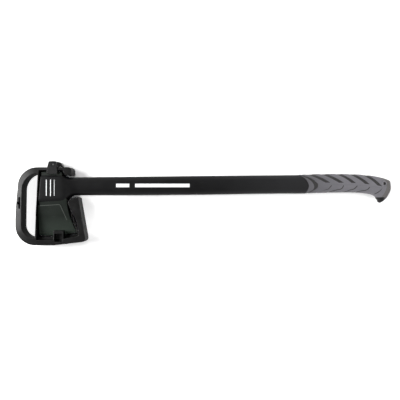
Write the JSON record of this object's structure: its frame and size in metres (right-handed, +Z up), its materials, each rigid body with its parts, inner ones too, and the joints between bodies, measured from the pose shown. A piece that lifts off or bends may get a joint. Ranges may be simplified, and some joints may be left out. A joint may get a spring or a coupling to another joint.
{
  "type": "splitting maul",
  "caption": "Splitting maul with a wedge head, hooked soft grip and a carrying sheath with loop and cam latch.",
  "frame": {"origin": "bottom centre of the whole object's box, as it lies on its side", "axes": "+X along the handle from the head to the grip, +Y from the cutting edge to the poll, +Z up"},
  "size_m": [0.9691, 0.2162, 0.0535],
  "materials": {
    "head_steel": "dark satin coating",
    "handle_plastic": "fine matte grain",
    "grip_dark": "matte",
    "grip_pale": "soft matte",
    "eyelet_plastic": "matte",
    "sheath_plastic": "satin grain",
    "latch_plastic": "satin grain",
    "pin_steel": "dull"
  },
  "bodies": {
    "maul": {"steel_head": "head_steel", "handle_shaft": "handle_plastic", "grip_base": "grip_dark", "grip_collar": "grip_pale", "grip_sleeve": "grip_pale", "end_plug": "handle_plastic", "lanyard_eyelet": "eyelet_plastic"},
    "sheath": {"sheath_frame": "sheath_plastic", "latch_block": "latch_plastic", "latch_pin": "pin_steel"},
    "latch": {"latch_lever": "latch_plastic"}
  },
  "joints": [
    {"name": "sheath_swing", "type": "hinge", "parent": "maul", "child": "sheath", "pos_m": [-0.38274, -0.08378, 0.025], "axis": [1, 0, 0], "range_deg": [0, 65]},
    {"name": "latch_turn", "type": "hinge", "parent": "sheath", "child": "latch", "pos_m": [-0.38634, 0.09911, 0.025], "axis": [0, 0, 1], "range_deg": [0, 95]}
  ]
}
